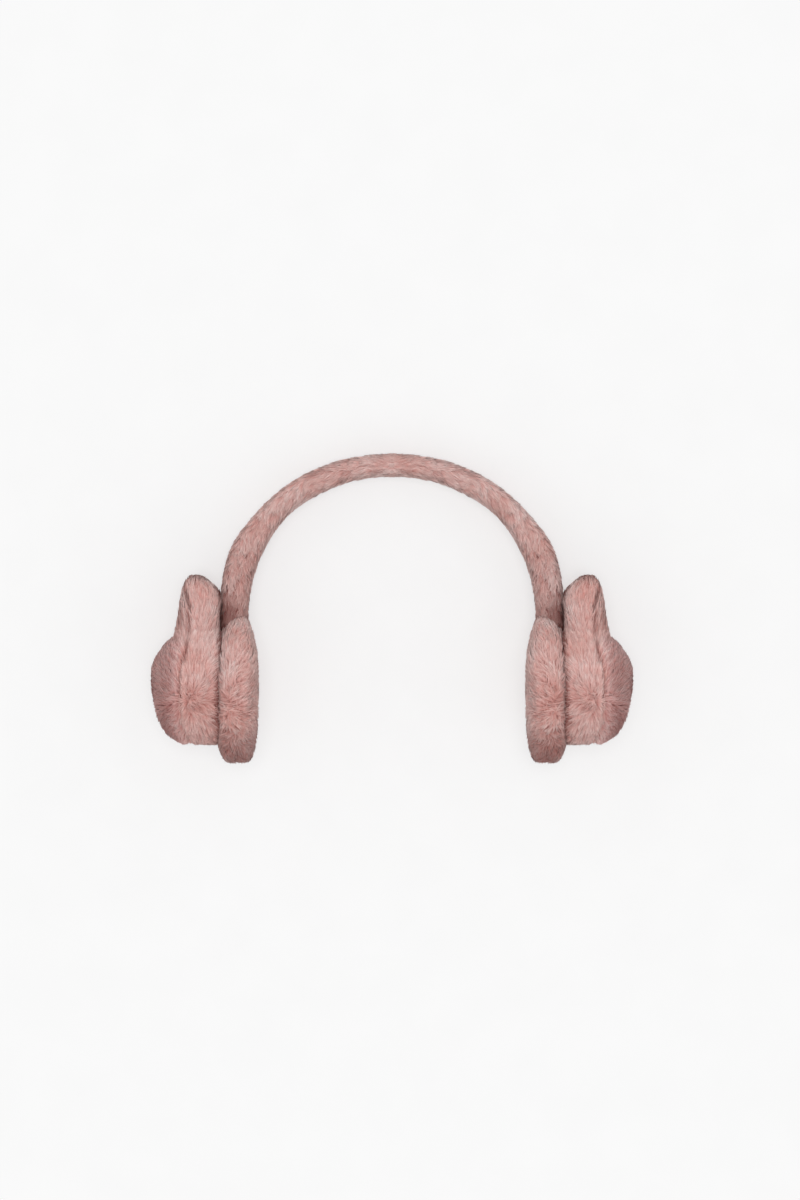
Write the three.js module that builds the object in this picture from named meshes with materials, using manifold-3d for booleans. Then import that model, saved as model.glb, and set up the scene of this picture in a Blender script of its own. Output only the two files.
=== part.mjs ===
// Fur earmuffs: an arched band under combed pile, and on each of its ends a round ear pad with a
// plush animal head sewn to its outer side. Each head is a side strip, a domed face and two ears.
// All lengths are millimetres. The earmuffs are worked out as worn, with X to the side, Y up to the
// crown and Z to the front, and then laid on their rear side on the plane z = 0, with +Z up.

import * as THREE from "three";
import { mergeVertices } from "three/addons/utils/BufferGeometryUtils.js";
import Module from "manifold-3d";

const wasm = await Module();
wasm.setup();

// Ear pads
const HEAD_GAP = 161;
const PAD_DIAMETER = 87;
const PAD_THICKNESS = 23.4;
const PAD_TOP_LEAN = 5;
const PAD_LEAN_START = 0.2;
const PAD_FLAT_DEPTH = 0.15;
const PAD_ROUNDNESS = 3.5;

// Plush heads
const STRIP_WIDTH = 17.4;
const SEAM_BOW = 4.4;
const FACE_DEPTH = 22.8;
const HEAD_HEIGHT = 67.8;
const HEAD_LENGTH = 78;
const HEAD_RAISE = 1.5;
const FACE_LIFT = 6.6;
const HEAD_OUTLINE_ROUNDNESS = 2.3;
const STRIP_ROUNDNESS = 7;
const FACE_LIFT_POWER = 8;
const SEAM_PINCH = 1.2;
const STRIP_FLAT = 0.2;
const FACE_BACK = 0.18;

// Ears
const EAR_HEIGHT = 37;
const EAR_ROOT = 22;
const EAR_THICKNESS = 27;
const EAR_WIDTH = 26;
const EAR_SPACING = 33;
const EAR_SPLAY = THREE.MathUtils.degToRad(2);
const EAR_INWARD = 1.6;
const EAR_TIP_OUTWARD = 3;
const EAR_TIP_POWER = 6;
const EAR_TAPER = 0.12;
const EAR_ROUNDNESS = 2.4;

// Band
const CROWN_HEIGHT = 135.2;
const BAND_THICKNESS = 17.2;
const BAND_WIDTH = 27;
const BAND_FOOT_SINK = 5.5;
const BAND_STAND_OFF = 2.5;
const BAND_ROUNDNESS = 2.5;
const BAND_END_ROUNDNESS = 40;

// Pile: overlapping locks, each rising from its root to its tip
const LOCK_RELIEF = 1.3;
const LOCK_ROOT_SWELL = 0.4;
const LOCK_RISE = 0.5;
const BAND_LOCK_ROWS = 13;
const BAND_LOCKS_ROUND = 8;
const PAD_LOCK_ROWS = 6;
const PAD_LOCKS_ROUND = 20;
const STRIP_LOCK_ROWS = 3;
const FACE_LOCK_ROWS = 4;
const HEAD_LOCKS_ROUND = 20;
const EAR_LOCK_ROWS = 4;
const EAR_LOCKS_ROUND = 8;
const POINTS_PER_ROW = 3;
const POINTS_PER_LOCK = 2;

// Resting and fitting
const PAD_PRESS = 1.6;
const CROWN_PRESS = 1.1;
const PIECE_GAP = 0.3;
const MERGE_DISTANCE = 1e-4;
const NORMAL_STEP = 2e-3;

const PAD_RADIUS = PAD_DIAMETER / 2;
const PAD_INNER_X = HEAD_GAP / 2;
const PAD_MIDDLE_X = PAD_INNER_X + PAD_THICKNESS / 2;
const PAD_OUTER_X = PAD_INNER_X + PAD_THICKNESS;
const HEAD_INNER_X = PAD_OUTER_X + PIECE_GAP;
const SEAM_X = HEAD_INNER_X + STRIP_WIDTH;
const BAND_HALF_SPAN = PAD_MIDDLE_X + BAND_STAND_OFF;
const BAND_FOOT = PAD_RADIUS - BAND_FOOT_SINK;

// The band's middle line from crown to foot, at equal steps of its length: how far out it is as a
// share of the half span, how far up between foot and crown, and its thickness and width as shares.
const BAND_STATIONS = [
  { out: 0.0, up: 1.0, thick: 0.72, wide: 0.92 },
  { out: 0.164, up: 0.989, thick: 0.71, wide: 0.92 },
  { out: 0.325, up: 0.955, thick: 0.73, wide: 0.93 },
  { out: 0.478, up: 0.896, thick: 0.77, wide: 0.95 },
  { out: 0.619, up: 0.816, thick: 0.77, wide: 0.97 },
  { out: 0.745, up: 0.712, thick: 0.79, wide: 0.99 },
  { out: 0.848, up: 0.589, thick: 0.9, wide: 1.0 },
  { out: 0.93, up: 0.452, thick: 1.0, wide: 1.0 },
  { out: 0.977, up: 0.3, thick: 0.97, wide: 1.0 },
  { out: 0.996, up: 0.15, thick: 0.91, wide: 0.97 },
  { out: 1.0, up: 0.0, thick: 0.87, wide: 0.93 },
];

// Where each piece's pile starts and ends, as shares of the way between its poles.
const PILE_REACH = {
  pad: { bareTo: 0.1, fullFrom: 0.22, fullTo: 0.6, bareFrom: 0.72 },
  strip: { bareTo: 0.22, fullFrom: 0.36, fullTo: 0.66, bareFrom: 0.78 },
  face: { bareTo: 0.2, fullFrom: 0.34, fullTo: 0.84, bareFrom: 0.95 },
  ear: { bareTo: 0.45, fullFrom: 0.55, fullTo: 0.85, bareFrom: 0.95 },
  band: { bareTo: 0.0, fullFrom: 0.06, fullTo: 0.9, bareFrom: 0.97 },
};

// The tilt at which the pads' rear rims and the crown's rear edge touch the plane together.
const CROWN_HALF_WIDTH = (BAND_WIDTH * BAND_STATIONS[0].wide) / 2;
const TOUCH_REACH = PAD_RADIUS - PAD_PRESS + CROWN_PRESS;
const TILT =
  Math.asin(TOUCH_REACH / Math.hypot(CROWN_HEIGHT, CROWN_HALF_WIDTH)) -
  Math.atan2(CROWN_HALF_WIDTH, CROWN_HEIGHT);
const FLOOR_NORMAL = new THREE.Vector3(0, -Math.sin(TILT), Math.cos(TILT));
const FLOOR_LEVEL = PAD_PRESS - PAD_RADIUS;

// A power that keeps the sign, for rounded-square curves.
function signedPower(value, power) {
  return Math.sign(value) * Math.abs(value) ** power;
}

// The unit rounded-square ring: a circle at roundness 2, squarer above it.
function ringPoint(turn, roundness) {
  const angle = 2 * Math.PI * turn;
  return {
    front: signedPower(Math.cos(angle), 2 / roundness),
    up: signedPower(Math.sin(angle), 2 / roundness),
  };
}

// Pile that meets the resting plane is pressed flat on it.
function pressedOnFloor(place) {
  const height = place.dot(FLOOR_NORMAL) - FLOOR_LEVEL;
  return height < 0 ? place.addScaledVector(FLOOR_NORMAL, -height) : place;
}

// The outward normal of a form at one place, from short steps along and round it.
function normalAt(placeOf, turn, fall) {
  const inside = THREE.MathUtils.clamp(fall, 2 * NORMAL_STEP, 1 - 2 * NORMAL_STEP);
  const along = placeOf(turn, inside + NORMAL_STEP).sub(placeOf(turn, inside - NORMAL_STEP));
  const round = placeOf(turn + NORMAL_STEP, inside).sub(placeOf(turn - NORMAL_STEP, inside));
  return along.cross(round).normalize();
}

// At a pole every turn gives the same place, so it takes the mean normal of four turns.
function poleNormal(placeOf, fall) {
  const sum = new THREE.Vector3();
  for (const turn of [0, 0.25, 0.5, 0.75]) {
    sum.add(normalAt(placeOf, turn, fall));
  }
  return sum.normalize();
}

// A lock's height, from -1/2 to 1/2: it rises along the hair, drops after its tip, falls off to
// both sides, and each row is set half a lock on from the last.
function lockHeight(rows, locks) {
  const row = Math.floor(rows + NORMAL_STEP);
  const along = rows - row;
  const side = locks + (row % 2) / 2;
  const across = Math.cos(2 * Math.PI * side) / 2;
  const swell = THREE.MathUtils.lerp(LOCK_ROOT_SWELL, 1, along);
  return across * swell + LOCK_RISE * (along - 1 / 2);
}

// The pile of a piece: its locks, and where on the way between the poles they start and end, so
// that flat middles and faces that lie on a neighbour stay plain.
function combedPile(rows, locks, reach) {
  return (turn, fall) => {
    const start = THREE.MathUtils.smoothstep(fall, reach.bareTo, reach.fullFrom);
    const end = 1 - THREE.MathUtils.smoothstep(fall, reach.fullTo, reach.bareFrom);
    return start * end * lockHeight(rows * fall, locks * turn);
  };
}

// A form whose places are moved out by its pile and by a further amount.
function coveredForm(placeOf, pileOf, further) {
  return (turn, fall) => {
    const place = placeOf(turn, fall);
    const atPole = fall <= 0 || fall >= 1;
    const normal = atPole ? poleNormal(placeOf, fall) : normalAt(placeOf, turn, fall);
    const pile = atPole ? 0 : pileOf(turn, fall) * LOCK_RELIEF;
    return place.addScaledVector(normal, pile + further);
  };
}

// A closed skin on a globe's grid: turn is the share of the way round, and fall the share of the
// way from the first pole to the second.
function closedSkin(around, along, placeOf) {
  const geometry = new THREE.SphereGeometry(1, around, along);
  const share = geometry.attributes.uv;
  const position = geometry.attributes.position;
  for (let i = 0; i < position.count; i += 1) {
    const place = pressedOnFloor(placeOf(share.getX(i), 1 - share.getY(i)));
    position.setXYZ(i, place.x, place.y, place.z);
  }
  geometry.deleteAttribute("normal");
  geometry.deleteAttribute("uv");
  return mergeVertices(geometry, MERGE_DISTANCE);
}

// Ear pad: a rounded cushion, its inner face flat in the middle and leaning outwards at its top.
function padPlace(turn, fall) {
  const ring = ringPoint(turn, 2);
  const slope = Math.PI * (fall - 0.5);
  const spread = PAD_RADIUS * signedPower(Math.cos(slope), 2 / PAD_ROUNDNESS);
  const depth = (PAD_THICKNESS / 2) * signedPower(Math.sin(slope), 2 / PAD_ROUNDNESS);
  const flat = PAD_THICKNESS / 2 - PAD_FLAT_DEPTH;
  const up = spread * ring.up;
  const high = Math.max(0, (up / PAD_RADIUS - PAD_LEAN_START) / (1 - PAD_LEAN_START));
  const inner = Math.max(0, (-2 * depth) / PAD_THICKNESS);
  const lean = PAD_TOP_LEAN * high ** 2 * inner;
  return new THREE.Vector3(
    PAD_MIDDLE_X + THREE.MathUtils.clamp(depth, -flat, flat) + lean,
    up,
    spread * ring.front,
  );
}

// The head's outline seen from the side, as a share of its full spread.
function headOutline(turn, spread) {
  const ring = ringPoint(turn, HEAD_OUTLINE_ROUNDNESS);
  return {
    front: (HEAD_LENGTH / 2) * spread * ring.front,
    up: HEAD_RAISE + (HEAD_HEIGHT / 2) * spread * ring.up,
  };
}

// The seam between strip and face bows outwards at the front and the rear of the head.
function seamX(front) {
  return SEAM_X + SEAM_BOW * (front / (HEAD_LENGTH / 2)) ** 2;
}

// Side strip: a low drum from the pad to the seam, drawn in a little at both edges. The first and
// last stretch of the way are its flat faces.
function stripPlace(turn, fall) {
  const wall = THREE.MathUtils.clamp((fall - STRIP_FLAT) / (1 - 2 * STRIP_FLAT), 0, 1);
  const swell = (1 - Math.abs(2 * wall - 1) ** STRIP_ROUNDNESS) ** (1 / STRIP_ROUNDNESS);
  const drawnIn = 1 - (SEAM_PINCH / (HEAD_HEIGHT / 2)) * (1 - swell);
  const spread = drawnIn * Math.min(1, Math.min(fall, 1 - fall) / STRIP_FLAT);
  const outline = headOutline(turn, spread);
  const outer = seamX(outline.front) - PIECE_GAP / 2;
  return new THREE.Vector3(
    THREE.MathUtils.lerp(HEAD_INNER_X, outer, wall),
    outline.up,
    outline.front,
  );
}

// Face: a dome on the seam, its highest point lifted above the middle of the outline. The first
// stretch of the way is its back.
function facePlace(turn, fall) {
  const slope = (Math.PI / 2) * THREE.MathUtils.clamp((fall - FACE_BACK) / (1 - FACE_BACK), 0, 1);
  const depth = Math.sin(slope);
  const drawnIn = 1 - (SEAM_PINCH / (HEAD_HEIGHT / 2)) * (1 - depth) ** STRIP_ROUNDNESS;
  const spread = fall < FACE_BACK ? (drawnIn * fall) / FACE_BACK : drawnIn * Math.cos(slope);
  const outline = headOutline(turn, spread);
  const base = seamX(outline.front) + PIECE_GAP / 2;
  return new THREE.Vector3(
    THREE.MathUtils.lerp(base, SEAM_X + FACE_DEPTH, depth),
    outline.up + FACE_LIFT * depth ** FACE_LIFT_POWER,
    outline.front,
  );
}

// Ear: a fat rounded flap that stands on the head and leans away from its middle.
function earPlace(side) {
  const root = HEAD_RAISE + HEAD_HEIGHT / 2 - EAR_ROOT;
  const tall = EAR_ROOT + EAR_HEIGHT;
  const middle = HEAD_INNER_X + (EAR_THICKNESS * (1 - EAR_TAPER)) / 2 - EAR_INWARD;
  return (turn, fall) => {
    const ring = ringPoint(turn, 2);
    const slope = Math.PI * (fall - 0.5);
    const rise = (1 + signedPower(Math.sin(slope), 2 / EAR_ROUNDNESS)) / 2;
    const girth = signedPower(Math.cos(slope), 2 / EAR_ROUNDNESS);
    const thick = (EAR_THICKNESS / 2) * girth * (1 - EAR_TAPER * rise);
    const height = tall * rise;
    const offset = (EAR_SPACING / 2 + Math.tan(EAR_SPLAY) * (height - EAR_ROOT)) * side;
    return new THREE.Vector3(
      middle + thick * ring.front + EAR_TIP_OUTWARD * rise ** EAR_TIP_POWER,
      root + height,
      offset + (EAR_WIDTH / 2) * girth * ring.up,
    );
  };
}

// Band: a flattened tube along the arch, its ends hidden between the pads and the heads.
function bandPlace() {
  const half = BAND_STATIONS.map((station) => ({
    ...station,
    place: new THREE.Vector3(
      station.out * BAND_HALF_SPAN,
      THREE.MathUtils.lerp(BAND_FOOT, CROWN_HEIGHT, station.up),
      0,
    ),
  }));
  const mirrored = half.slice(1).map((station) => ({
    ...station,
    place: new THREE.Vector3(-station.place.x, station.place.y, 0),
  }));
  const stations = [...mirrored.reverse(), ...half];
  const line = new THREE.CatmullRomCurve3(stations.map((station) => station.place));
  const sizeAt = (share, key) => {
    const at = share * (stations.length - 1);
    const low = Math.min(Math.floor(at), stations.length - 2);
    return THREE.MathUtils.lerp(stations[low][key], stations[low + 1][key], at - low);
  };
  return (turn, fall) => {
    const share = THREE.MathUtils.clamp(fall, 0, 1);
    const ring = ringPoint(turn, BAND_ROUNDNESS);
    const ended = (1 - Math.abs(2 * share - 1) ** BAND_END_ROUNDNESS) ** (1 / BAND_END_ROUNDNESS);
    const tangent = line.getTangent(share);
    const outward = new THREE.Vector3(-tangent.y, tangent.x, 0);
    const thick = (BAND_THICKNESS / 2) * sizeAt(share, "thick") * ended;
    const wide = (BAND_WIDTH / 2) * sizeAt(share, "wide") * ended;
    const place = line.getPoint(share).addScaledVector(outward, thick * ring.up);
    place.z = wide * ring.front;
    return place;
  };
}

// The band's pile is combed from the crown down both sides, so its locks count from the crown.
function bandPile(turn, fall) {
  const sidePile = combedPile(BAND_LOCK_ROWS, BAND_LOCKS_ROUND, PILE_REACH.band);
  return sidePile(turn, Math.abs(2 * fall - 1));
}

// A stuffed piece's cover, further out by a given amount where it serves to cut its neighbours.
function cover(piece, further = 0) {
  const { locks, rows, form, reach } = piece;
  const pile = piece.pile ?? combedPile(rows, locks, reach);
  return closedSkin(
    locks * POINTS_PER_LOCK,
    rows * POINTS_PER_ROW,
    coveredForm(form, pile, further),
  );
}

const PAD = { locks: PAD_LOCKS_ROUND, rows: PAD_LOCK_ROWS, form: padPlace, reach: PILE_REACH.pad };
const STRIP = { locks: HEAD_LOCKS_ROUND, rows: STRIP_LOCK_ROWS, form: stripPlace, reach: PILE_REACH.strip };
const FACE = { locks: HEAD_LOCKS_ROUND, rows: FACE_LOCK_ROWS, form: facePlace, reach: PILE_REACH.face };
const BAND = { locks: BAND_LOCKS_ROUND, rows: 2 * BAND_LOCK_ROWS, form: bandPlace(), pile: bandPile };
const [FRONT_EAR, REAR_EAR] = [1, -1].map((side) => ({
  locks: EAR_LOCKS_ROUND,
  rows: EAR_LOCK_ROWS,
  form: earPlace(side),
  reach: PILE_REACH.ear,
}));

// Joining and cutting
function asSolid(geometry, mirror = 1) {
  const vertProperties = new Float32Array(geometry.attributes.position.array);
  const triVerts = new Uint32Array(geometry.index.array);
  for (let i = 0; i < vertProperties.length; i += 3) {
    vertProperties[i] *= mirror;
  }
  for (let i = 0; mirror < 0 && i < triVerts.length; i += 3) {
    [triVerts[i + 1], triVerts[i + 2]] = [triVerts[i + 2], triVerts[i + 1]];
  }
  return new wasm.Manifold(new wasm.Mesh({ numProp: 3, vertProperties, triVerts }));
}

function asGeometry(solid) {
  const { vertProperties, triVerts } = solid.getMesh();
  const geometry = new THREE.BufferGeometry();
  geometry.setAttribute("position", new THREE.BufferAttribute(vertProperties, 3));
  geometry.setIndex(new THREE.BufferAttribute(triVerts, 1));
  return geometry;
}

// The ears are cut to sit on the head and clear of the pad, and the band's ends to pass between
// pad, head and ears, each with the gap that keeps two covers apart.
const headCutters = [STRIP, FACE, PAD].map((piece) => cover(piece, PIECE_GAP));

function cutEar(piece) {
  return headCutters.reduce(
    (solid, cutter) => solid.subtract(asSolid(cutter)),
    asSolid(cover(piece)),
  );
}

const earSolids = { front: cutEar(FRONT_EAR), rear: cutEar(REAR_EAR) };
const earCutters = [FRONT_EAR, REAR_EAR].map((piece) => cover(piece, PIECE_GAP));

function cutBand() {
  let solid = asSolid(cover(BAND));
  for (const cutter of [...headCutters, ...earCutters]) {
    solid = solid.subtract(asSolid(cutter)).subtract(asSolid(cutter, -1));
  }
  return solid;
}

// Pile colours, from the pale combed band to the greyer domes
const plush = (name, color) =>
  new THREE.MeshStandardMaterial({ name, color, roughness: 0.95, metalness: 0 });
const bandPlush = plush("band_plush", 0xc1988f);
const padPlush = plush("pad_plush", 0xc59c94);
const headPlush = plush("head_plush", 0xbd938b);
const facePlush = plush("face_plush", 0xa3807d);

function pieceMesh(name, geometry, material) {
  const mesh = new THREE.Mesh(geometry, material);
  mesh.name = name;
  return mesh;
}

// One side's pieces. The other side is its mirror image.
function sideGroup(side, mirror) {
  const group = new THREE.Group();
  group.scale.x = mirror;
  group.add(
    pieceMesh(`ear_pad_${side}`, cover(PAD), padPlush),
    pieceMesh(`head_strip_${side}`, cover(STRIP), headPlush),
    pieceMesh(`head_face_${side}`, cover(FACE), facePlush),
    pieceMesh(`ear_front_${side}`, asGeometry(earSolids.front), headPlush),
    pieceMesh(`ear_rear_${side}`, asGeometry(earSolids.rear), headPlush),
  );
  return group;
}

const worn = new THREE.Group();
worn.add(
  pieceMesh("headband", asGeometry(cutBand()), bandPlush),
  sideGroup("left", -1),
  sideGroup("right", 1),
);
worn.rotation.x = -TILT;

// The origin is the middle of the bottom of the whole box.
const box = new THREE.Box3().setFromObject(worn, true);
worn.position.set(0, -(box.min.y + box.max.y) / 2, -box.min.z);

const group = new THREE.Group();
group.add(worn);

export default group;
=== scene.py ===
"""Plush fur earmuffs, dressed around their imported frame.

Every piece is worked out in the worn position, in millimetres, with X to the side, Y up to the crown
and Z to the front, for the side at +X. lay_down() then turns it into the lying pose of the frame and
mirrors it where it belongs to the other side. Each piece is a padded skin, a little inside the
outline, and a pile of tapered strands rooted in that skin. Real plush fibres are far finer than
these strands, each of which stands for a small lock, so that the pile shows in a picture.
"""

import math

import bpy
import numpy as np
from bpy.props import FloatProperty, FloatVectorProperty, IntProperty, PointerProperty
from mathutils import Matrix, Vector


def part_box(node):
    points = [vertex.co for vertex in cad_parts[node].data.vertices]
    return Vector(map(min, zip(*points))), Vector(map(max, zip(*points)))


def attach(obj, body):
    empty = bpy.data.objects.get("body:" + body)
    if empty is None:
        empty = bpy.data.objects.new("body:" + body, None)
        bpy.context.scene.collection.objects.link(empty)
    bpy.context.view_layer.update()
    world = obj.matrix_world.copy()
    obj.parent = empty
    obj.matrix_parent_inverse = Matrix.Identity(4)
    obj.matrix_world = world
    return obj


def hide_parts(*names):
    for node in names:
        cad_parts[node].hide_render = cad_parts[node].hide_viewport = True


bl_info = {
    "name": "Plush fur earmuffs",
    "version": (1, 0, 0),
    "blender": (4, 5, 0),
    "location": "View3D > Sidebar > Earmuffs",
    "description": "Builds the pile, skins and materials of a pair of plush earmuffs",
    "category": "Object",
}

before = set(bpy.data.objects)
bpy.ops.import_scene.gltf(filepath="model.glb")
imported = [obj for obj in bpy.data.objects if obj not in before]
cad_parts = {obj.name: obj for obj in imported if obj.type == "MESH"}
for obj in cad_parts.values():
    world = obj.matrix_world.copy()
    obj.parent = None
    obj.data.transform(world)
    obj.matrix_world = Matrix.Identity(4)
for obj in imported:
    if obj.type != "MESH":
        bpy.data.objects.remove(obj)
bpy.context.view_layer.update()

MM = 0.001
SIDES = {"left": -1, "right": 1}

# Ear pads, heads, ears and band, in millimetres, as the frame's solids have them
HEAD_GAP = 161.0
PAD_DIAMETER = 87.0
PAD_THICKNESS = 23.4
PAD_TOP_LEAN = 5.0
PAD_LEAN_START = 0.2
PAD_ROUNDNESS = 3.5
STRIP_WIDTH = 17.4
SEAM_BOW = 4.4
FACE_DEPTH = 22.8
HEAD_HEIGHT = 67.8
HEAD_LENGTH = 78.0
HEAD_RAISE = 1.5
FACE_LIFT = 6.6
FACE_LIFT_POWER = 8
HEAD_ROUNDNESS = 2.3
EAR_HEIGHT = 37.0
EAR_ROOT = 22.0
EAR_THICKNESS = 27.0
EAR_WIDTH = 26.0
EAR_SPACING = 33.0
EAR_SPLAY = math.radians(2)
EAR_INWARD = 1.6
EAR_TIP_OUTWARD = 3.0
EAR_TIP_POWER = 6
EAR_TAPER = 0.12
EAR_ROUNDNESS = 2.4
CROWN_HEIGHT = 135.2
BAND_THICKNESS = 17.2
BAND_WIDTH = 27.0
BAND_ROUNDNESS = 2.5
BAND_FOOT_SINK = 5.5
BAND_STAND_OFF = 2.5
PIECE_GAP = 0.3
PAD_PRESS = 1.6
CROWN_PRESS = 1.1

PAD_RADIUS = PAD_DIAMETER / 2
PAD_INNER_X = HEAD_GAP / 2
PAD_MIDDLE_X = PAD_INNER_X + PAD_THICKNESS / 2
PAD_OUTER_X = PAD_INNER_X + PAD_THICKNESS
HEAD_INNER_X = PAD_OUTER_X + PIECE_GAP
SEAM_X = HEAD_INNER_X + STRIP_WIDTH
HEAD_TOP = HEAD_RAISE + HEAD_HEIGHT / 2

# The band's middle line from crown to foot at equal steps: out and up as shares of the half span and
# of the rise, thick and wide as shares of the band's thickness and width.
BAND_STATIONS = {
    "out": (0.0, 0.164, 0.325, 0.478, 0.619, 0.745, 0.848, 0.93, 0.977, 0.996, 1.0),
    "up": (1.0, 0.989, 0.955, 0.896, 0.816, 0.712, 0.589, 0.452, 0.3, 0.15, 0.0),
    "thick": (0.72, 0.71, 0.73, 0.77, 0.77, 0.79, 0.9, 1.0, 0.97, 0.91, 0.87),
    "wide": (0.92, 0.92, 0.93, 0.95, 0.97, 0.99, 1.0, 1.0, 1.0, 0.97, 0.93),
}

# How the earmuffs lie: on the pads' rear rims and the crown's rear edge
CROWN_HALF_WIDTH = BAND_WIDTH * BAND_STATIONS["wide"][0] / 2
TILT = math.asin(
    (PAD_RADIUS - PAD_PRESS + CROWN_PRESS) / math.hypot(CROWN_HEIGHT, CROWN_HALF_WIDTH)
) - math.atan2(CROWN_HALF_WIDTH, CROWN_HEIGHT)
PAD_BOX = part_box("ear_pad_right")
PAD_CENTRE_Y = (PAD_BOX[0][1] + PAD_BOX[1][1]) / 2
PAD_CENTRE_Z = (PAD_RADIUS - PAD_PRESS) * MM
FLOOR_CLEARANCE = 0.05 * MM

# Under the outline, in millimetres: the level that the strands follow, the skin, and how much deeper
# than that level a strand's root lies
PILE_DEPTH = 2.4
BAND_PILE_DEPTH = 2.0
SKIN_DEPTH = 2.7
ROOT_SINK = 0.9

# How the pile is combed. Lengths are in millimetres and turns in radians; each swirl has both.
TUFT_SIZE = 2.1
TUFT_TURN = 0.24
STRAND_TURN = 0.16
SWIRLS = ((20.0, 0.3), (7.0, 0.22))
RUFFLE_LENGTH = 9.0
UPRIGHT_RANGE = 5.0
LOOSE_RANGE = 9.0
TUFT_WANDER = 9.0
STRAND_WANDER = 4.0

# One strand: the share of its length from root to bend, how far it is drawn towards its tuft's
# middle on each step, its roll in radians, and how much of the form's normal its faces take
MIDDLE_SHARE = 0.45
STEP_PULL = 0.2
BEND_PULL = 0.25
STRAND_ROLL = 2.4
UPPER_SHARE = 0.42
UNDER_SHARE = 0.62

# Seeds of the random draws: roots and strands, strands left out, and the smooth random fields
SEEDS = {"band": 11, "pad": 21, "strip": 31, "face": 41, "ear": 51, "thinning": 61}
SWIRL_SEED = 7
RUFFLE_SEED = 31
CROSSING_SEED = 27
CLUMP_SEED = 9
FOOT_SHADE_SEED = 3

# The photograph: 800 by 1200 pixels, 0.6 mm each at the earmuffs' middle plane
PHOTO_WIDTH = 800
PHOTO_HEIGHT = 1200
PHOTO_MM_PER_PIXEL = 0.6
PHOTO_CENTRE_LINE = 392.0
PHOTO_PAD_CENTRE_ROW = 690.5


# Surfaces: turn goes once round a form, fall from one end to the other, and inset is its depth


def signed_power(value, power):
    """sign(v) * |v| ** power, the building block of rounded-square curves."""
    return np.sign(value) * np.abs(value) ** power


def stacked(x, y, z):
    """Three arrays as one array of places."""
    return np.stack(np.broadcast_arrays(x, y, z), axis=-1)


# Where two solids meet, an inset form draws back less than elsewhere
MATE_GROWTH = 0.8
MATE_INSET = 0.02


def pad_form(turn, fall, inset=0.0):
    """A rounded cushion: |x| and the radius follow a superellipse of roundness PAD_ROUNDNESS from the
    middle of the inner face (fall 0) to the middle of the outer face (fall 1). The inner face leans
    outwards towards the top."""
    angle = 2 * np.pi * turn
    slope = np.pi * (fall - 0.5)
    spread = (PAD_RADIUS - inset) * signed_power(np.cos(slope), 2 / PAD_ROUNDNESS)
    depth = (PAD_THICKNESS / 2 - inset) * signed_power(np.sin(slope), 2 / PAD_ROUNDNESS)
    depth = depth + MATE_GROWTH * inset * np.clip(slope, 0, 1)
    up = spread * np.sin(angle)
    high = np.maximum(0, (up / PAD_RADIUS - PAD_LEAN_START) / (1 - PAD_LEAN_START))
    lean = PAD_TOP_LEAN * high**2 * np.maximum(0, -2 * depth / PAD_THICKNESS)
    return stacked(PAD_MIDDLE_X + depth + lean, up, spread * np.cos(angle))


def head_outline(turn, spread, inset):
    """The head seen from the side: a superellipse, scaled by spread. Returns its up and front."""
    angle = 2 * np.pi * turn
    front = (HEAD_LENGTH / 2 - inset) * spread * signed_power(np.cos(angle), 2 / HEAD_ROUNDNESS)
    up = (HEAD_HEIGHT / 2 - inset) * spread * signed_power(np.sin(angle), 2 / HEAD_ROUNDNESS)
    return HEAD_RAISE + up, front


def seam_x(front):
    """The seam between strip and face bows outwards at the head's front and rear, as a parabola."""
    return SEAM_X + SEAM_BOW * (front / (HEAD_LENGTH / 2)) ** 2


STRIP_FLAT = 0.2
STRIP_EDGE = 5.0
STRIP_SEAM_DEPTH = 0.6


def strip_form(turn, fall, inset=0.0):
    """The side strip: flat faces over the first and last fifth of fall, and between them a wall whose
    outline is drawn in at both edges by 1 - (1 - |2w - 1| ** n) ** (1 / n)."""
    wall = np.clip((fall - STRIP_FLAT) / (1 - 2 * STRIP_FLAT), 0, 1)
    swell = (1 - np.abs(2 * wall - 1) ** STRIP_EDGE) ** (1 / STRIP_EDGE)
    drawn_in = 1 - STRIP_SEAM_DEPTH / (HEAD_HEIGHT / 2) * (1 - swell)
    spread = drawn_in * np.minimum(1, np.minimum(fall, 1 - fall) / STRIP_FLAT)
    up, front = head_outline(turn, spread, inset)
    mate = MATE_INSET if inset else 0.0
    inner = HEAD_INNER_X + mate
    return stacked(inner + (seam_x(front) - mate - inner) * wall, up, front)


FACE_BACK = 0.14


def face_form(turn, fall, inset=0.0):
    """The domed outer panel: a flat back up to FACE_BACK, then x rises as a sine and the outline
    shrinks as a cosine to the pole, which is lifted by FACE_LIFT * depth ** FACE_LIFT_POWER."""
    slope = np.pi / 2 * np.clip((fall - FACE_BACK) / (1 - FACE_BACK), 0, 1)
    depth = np.sin(slope)
    drawn_in = 1 - STRIP_SEAM_DEPTH / (HEAD_HEIGHT / 2) * (1 - depth) ** STRIP_EDGE
    spread = drawn_in * np.where(fall < FACE_BACK, fall / FACE_BACK, np.cos(slope))
    up, front = head_outline(turn, spread, inset)
    mate = MATE_INSET if inset else 0.0
    base = seam_x(front) + mate
    x = base + (SEAM_X + FACE_DEPTH - inset - base) * depth
    return stacked(x, up + FACE_LIFT * depth**FACE_LIFT_POWER, front)


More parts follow.
